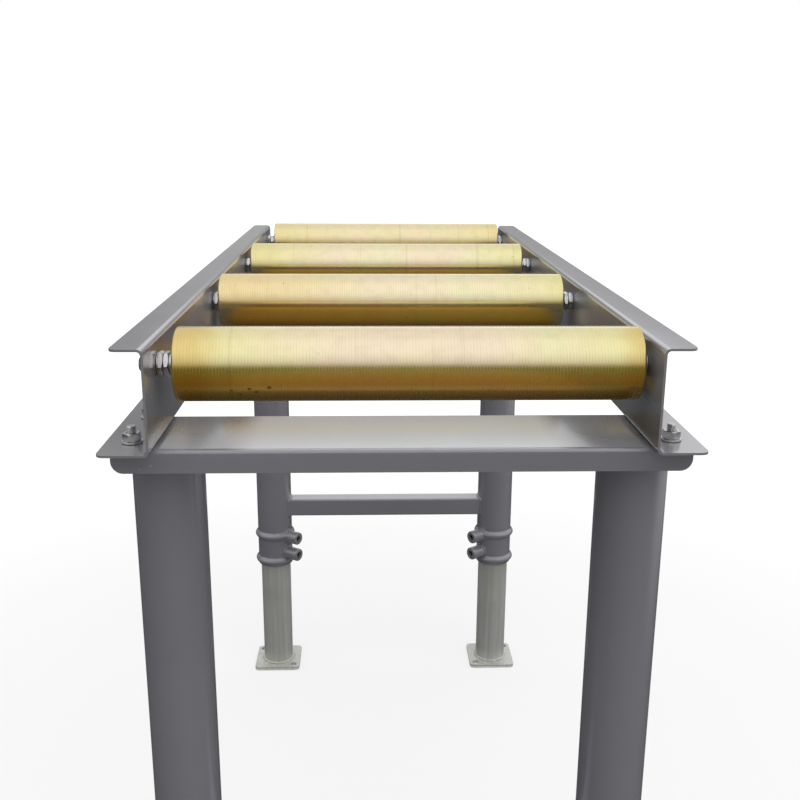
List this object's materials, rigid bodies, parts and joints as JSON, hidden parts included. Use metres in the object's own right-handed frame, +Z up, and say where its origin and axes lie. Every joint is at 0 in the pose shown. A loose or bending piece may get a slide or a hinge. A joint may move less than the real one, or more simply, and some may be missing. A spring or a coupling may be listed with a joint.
{
  "type": "roller conveyor",
  "caption": "Gravity roller conveyor: tube rollers on fixed axles between folded side rails, on two welded stands with telescopic clamped legs.",
  "frame": {"origin": "on the floor under the middle of the conveyor, with the legs at the middle of their travel", "axes": "+X across the conveyor along the roller axles, +Y along the rails away from the camera, +Z up"},
  "size_m": [0.477, 1, 0.8],
  "materials": {
    "grey_paint": "semi-gloss grey paint",
    "yellow_zinc": "turned tube with yellow zinc passivation",
    "bearing_steel": "ground bearing steel",
    "bright_zinc": "bright zinc plating",
    "galvanised_tube": "dull galvanised tube",
    "black_steel": "black oxide"
  },
  "bodies": {
    "frame": {"side_rail_left": "grey_paint", "side_rail_right": "grey_paint", "front_crossbar": "grey_paint", "rear_crossbar": "grey_paint", "front_brace": "grey_paint", "rear_brace": "grey_paint", "outer_leg_front_left": "grey_paint", "outer_leg_front_right": "grey_paint", "outer_leg_rear_left": "grey_paint", "outer_leg_rear_right": "grey_paint", "axle_1": "bright_zinc", "axle_2": "bright_zinc", "axle_3": "bright_zinc", "axle_4": "bright_zinc", "axle_nut_1_left": "bright_zinc", "axle_nut_1_right": "bright_zinc", "axle_nut_2_left": "bright_zinc", "axle_nut_2_right": "bright_zinc", "axle_nut_3_left": "bright_zinc", "axle_nut_3_right": "bright_zinc", "axle_nut_4_left": "bright_zinc", "axle_nut_4_right": "bright_zinc", "rail_bolt_front_left_near": "bright_zinc", "rail_bolt_front_left_far": "bright_zinc", "rail_bolt_front_right_near": "bright_zinc", "rail_bolt_front_right_far": "bright_zinc", "rail_bolt_rear_left_near": "bright_zinc", "rail_bolt_rear_left_far": "bright_zinc", "rail_bolt_rear_right_near": "bright_zinc", "rail_bolt_rear_right_far": "bright_zinc"},
    "roller_1_set": {"roller_1": "yellow_zinc", "bearing_1_left": "bearing_steel", "bearing_1_right": "bearing_steel"},
    "roller_2_set": {"roller_2": "yellow_zinc", "bearing_2_left": "bearing_steel", "bearing_2_right": "bearing_steel"},
    "roller_3_set": {"roller_3": "yellow_zinc", "bearing_3_left": "bearing_steel", "bearing_3_right": "bearing_steel"},
    "roller_4_set": {"roller_4": "yellow_zinc", "bearing_4_left": "bearing_steel", "bearing_4_right": "bearing_steel"},
    "leg_front_left": {"inner_leg_front_left": "galvanised_tube", "foot_plate_front_left": "galvanised_tube"},
    "leg_front_right": {"inner_leg_front_right": "galvanised_tube", "foot_plate_front_right": "galvanised_tube"},
    "leg_rear_left": {"inner_leg_rear_left": "galvanised_tube", "foot_plate_rear_left": "galvanised_tube"},
    "leg_rear_right": {"inner_leg_rear_right": "galvanised_tube", "foot_plate_rear_right": "galvanised_tube"},
    "clamp_front_left_lower": {"clamp_screw_front_left_lower": "black_steel"},
    "clamp_front_left_upper": {"clamp_screw_front_left_upper": "black_steel"},
    "clamp_front_right_lower": {"clamp_screw_front_right_lower": "black_steel"},
    "clamp_front_right_upper": {"clamp_screw_front_right_upper": "black_steel"},
    "clamp_rear_left_lower": {"clamp_screw_rear_left_lower": "black_steel"},
    "clamp_rear_left_upper": {"clamp_screw_rear_left_upper": "black_steel"},
    "clamp_rear_right_lower": {"clamp_screw_rear_right_lower": "black_steel"},
    "clamp_rear_right_upper": {"clamp_screw_rear_right_upper": "black_steel"}
  },
  "joints": [
    {"name": "roller_1_spin", "type": "hinge", "parent": "frame", "child": "roller_1_set", "pos_m": [0, -0.45, 0.77], "axis": [1, 0, 0], "continuous": true},
    {"name": "roller_2_spin", "type": "hinge", "parent": "frame", "child": "roller_2_set", "pos_m": [0, -0.15, 0.77], "axis": [1, 0, 0], "continuous": true},
    {"name": "roller_3_spin", "type": "hinge", "parent": "frame", "child": "roller_3_set", "pos_m": [0, 0.15, 0.77], "axis": [1, 0, 0], "continuous": true},
    {"name": "roller_4_spin", "type": "hinge", "parent": "frame", "child": "roller_4_set", "pos_m": [0, 0.45, 0.77], "axis": [1, 0, 0], "continuous": true},
    {"name": "leg_front_left_slide", "type": "slide", "parent": "frame", "child": "leg_front_left", "axis": [0, 0, -1], "range_m": [-0.15, 0.15]},
    {"name": "leg_front_right_slide", "type": "slide", "parent": "frame", "child": "leg_front_right", "axis": [0, 0, -1], "range_m": [-0.15, 0.15]},
    {"name": "leg_rear_left_slide", "type": "slide", "parent": "frame", "child": "leg_rear_left", "axis": [0, 0, -1], "range_m": [-0.15, 0.15]},
    {"name": "leg_rear_right_slide", "type": "slide", "parent": "frame", "child": "leg_rear_right", "axis": [0, 0, -1], "range_m": [-0.15, 0.15]},
    {"name": "clamp_front_left_lower_turn", "type": "hinge", "parent": "frame", "child": "clamp_front_left_lower", "pos_m": [-0.16701, -0.40985, 0.2229], "axis": [0.8192, 0.5736, 0], "range_deg": [0, 1080]},
    {"name": "clamp_front_left_upper_turn", "type": "hinge", "parent": "frame", "child": "clamp_front_left_upper", "pos_m": [-0.16701, -0.40985, 0.2539], "axis": [0.8192, 0.5736, 0], "range_deg": [0, 1080]},
    {"name": "clamp_front_right_lower_turn", "type": "hinge", "parent": "frame", "child": "clamp_front_right_lower", "pos_m": [0.16701, -0.40985, 0.2229], "axis": [-0.8192, 0.5736, 0], "range_deg": [0, 1080]},
    {"name": "clamp_front_right_upper_turn", "type": "hinge", "parent": "frame", "child": "clamp_front_right_upper", "pos_m": [0.16701, -0.40985, 0.2539], "axis": [-0.8192, 0.5736, 0], "range_deg": [0, 1080]},
    {"name": "clamp_rear_left_lower_turn", "type": "hinge", "parent": "frame", "child": "clamp_rear_left_lower", "pos_m": [-0.16701, 0.40985, 0.2229], "axis": [0.8192, -0.5736, 0], "range_deg": [0, 1080]},
    {"name": "clamp_rear_left_upper_turn", "type": "hinge", "parent": "frame", "child": "clamp_rear_left_upper", "pos_m": [-0.16701, 0.40985, 0.2539], "axis": [0.8192, -0.5736, 0], "range_deg": [0, 1080]},
    {"name": "clamp_rear_right_lower_turn", "type": "hinge", "parent": "frame", "child": "clamp_rear_right_lower", "pos_m": [0.16701, 0.40985, 0.2229], "axis": [-0.8192, -0.5736, 0], "range_deg": [0, 1080]},
    {"name": "clamp_rear_right_upper_turn", "type": "hinge", "parent": "frame", "child": "clamp_rear_right_upper", "pos_m": [0.16701, 0.40985, 0.2539], "axis": [-0.8192, -0.5736, 0], "range_deg": [0, 1080]}
  ]
}
